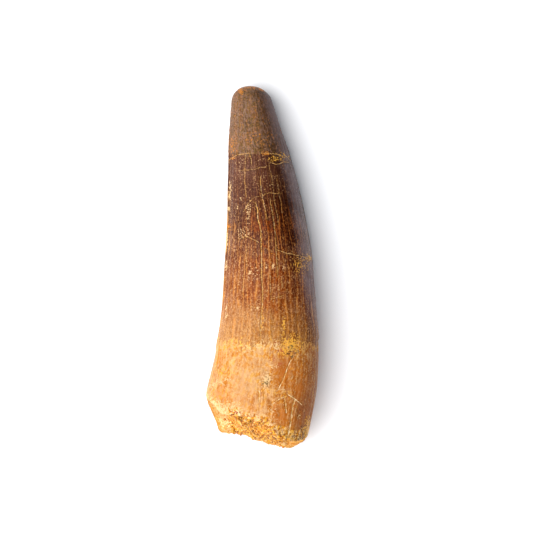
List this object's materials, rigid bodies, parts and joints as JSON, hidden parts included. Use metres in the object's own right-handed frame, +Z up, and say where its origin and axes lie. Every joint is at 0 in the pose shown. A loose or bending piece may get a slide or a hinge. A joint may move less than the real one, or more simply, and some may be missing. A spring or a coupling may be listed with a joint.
{
  "type": "spinosaurus tooth",
  "caption": "Fossil conical tooth lying on its side: blunt worn tip, fluted brown enamel crown, amber root and slanting sandy break.",
  "frame": {"origin": "on the surface that the tooth lies on, below the middle of its box", "axes": "+Y towards the tip of the crown, +X towards the convex side of its bend, +Z up"},
  "size_m": [0.0236, 0.0762, 0.0185],
  "materials": {
    "fossil": "satin enamel, dull root and rough sandy break"
  },
  "bodies": {
    "root": {"tooth": "fossil"}
  },
  "joints": []
}
